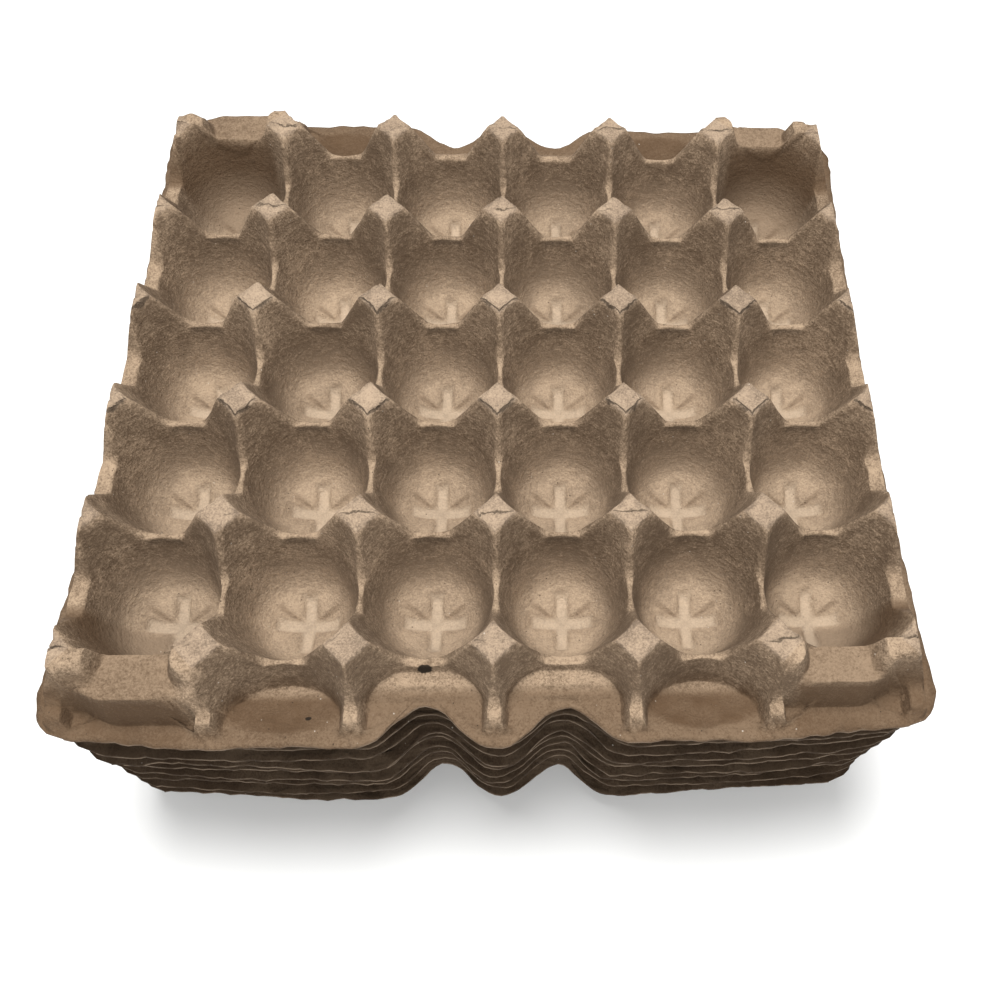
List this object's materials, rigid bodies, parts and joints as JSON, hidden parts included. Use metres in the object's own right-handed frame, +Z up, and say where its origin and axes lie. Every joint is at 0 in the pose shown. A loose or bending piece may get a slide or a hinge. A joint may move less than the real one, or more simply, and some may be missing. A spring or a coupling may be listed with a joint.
{
  "type": "stack of egg trays",
  "caption": "Nested stack of square moulded pulp egg trays: round cups between blunt posts, ribbed borders, and finger notches in the rims.",
  "frame": {"origin": "on the floor, under the middle of the stack", "axes": "+X along the longer side of the trays, +Y to the back, +Z up out of the cups"},
  "size_m": [0.309, 0.2958, 0.1383],
  "materials": {
    "pulp": "rough grey-brown moulded pulp, fibrous and matt"
  },
  "bodies": {
    "root": {"egg_tray_1": "pulp", "egg_tray_2": "pulp", "egg_tray_3": "pulp", "egg_tray_4": "pulp", "egg_tray_5": "pulp", "egg_tray_6": "pulp", "egg_tray_7": "pulp", "egg_tray_8": "pulp", "egg_tray_9": "pulp"}
  },
  "joints": []
}
